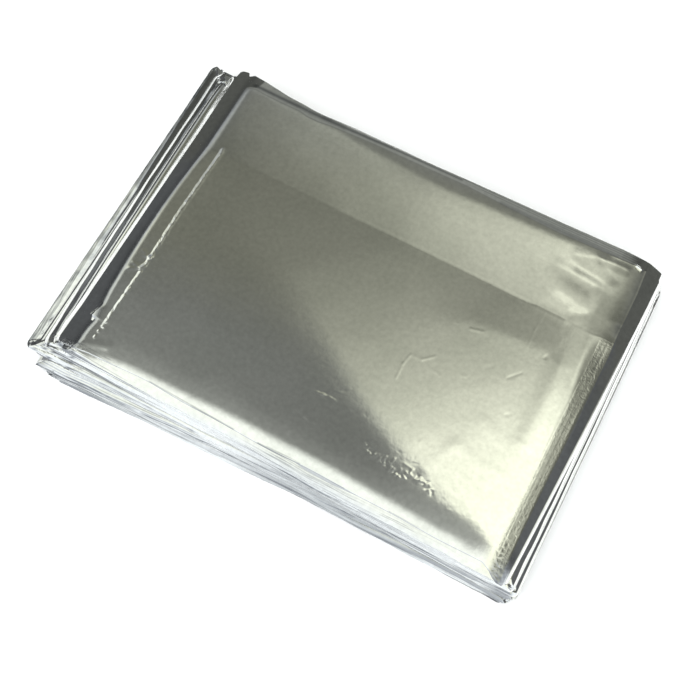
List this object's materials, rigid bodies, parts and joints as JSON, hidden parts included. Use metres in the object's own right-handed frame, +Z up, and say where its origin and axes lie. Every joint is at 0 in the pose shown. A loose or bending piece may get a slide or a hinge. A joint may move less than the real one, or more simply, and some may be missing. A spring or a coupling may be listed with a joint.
{
  "type": "folded emergency foil blanket",
  "caption": "Sheet of thin metallised film folded back and forth into a flat rectangular pack, an emergency blanket that opens out to wrap a person and keep in body heat.",
  "frame": {"origin": "under the middle of the folded pack's footprint, on the surface that it lies on", "axes": "+X along the pack's long side, towards the folded end of its top layer, +Y along its short side, towards the back edge, +Z up"},
  "size_m": [0.138, 0.0966, 0.0139],
  "materials": {
    "foil_film": "bright silver metallised film, pressed flat, with fine creases"
  },
  "bodies": {
    "root": {"foil_blanket": "foil_film"}
  },
  "joints": []
}
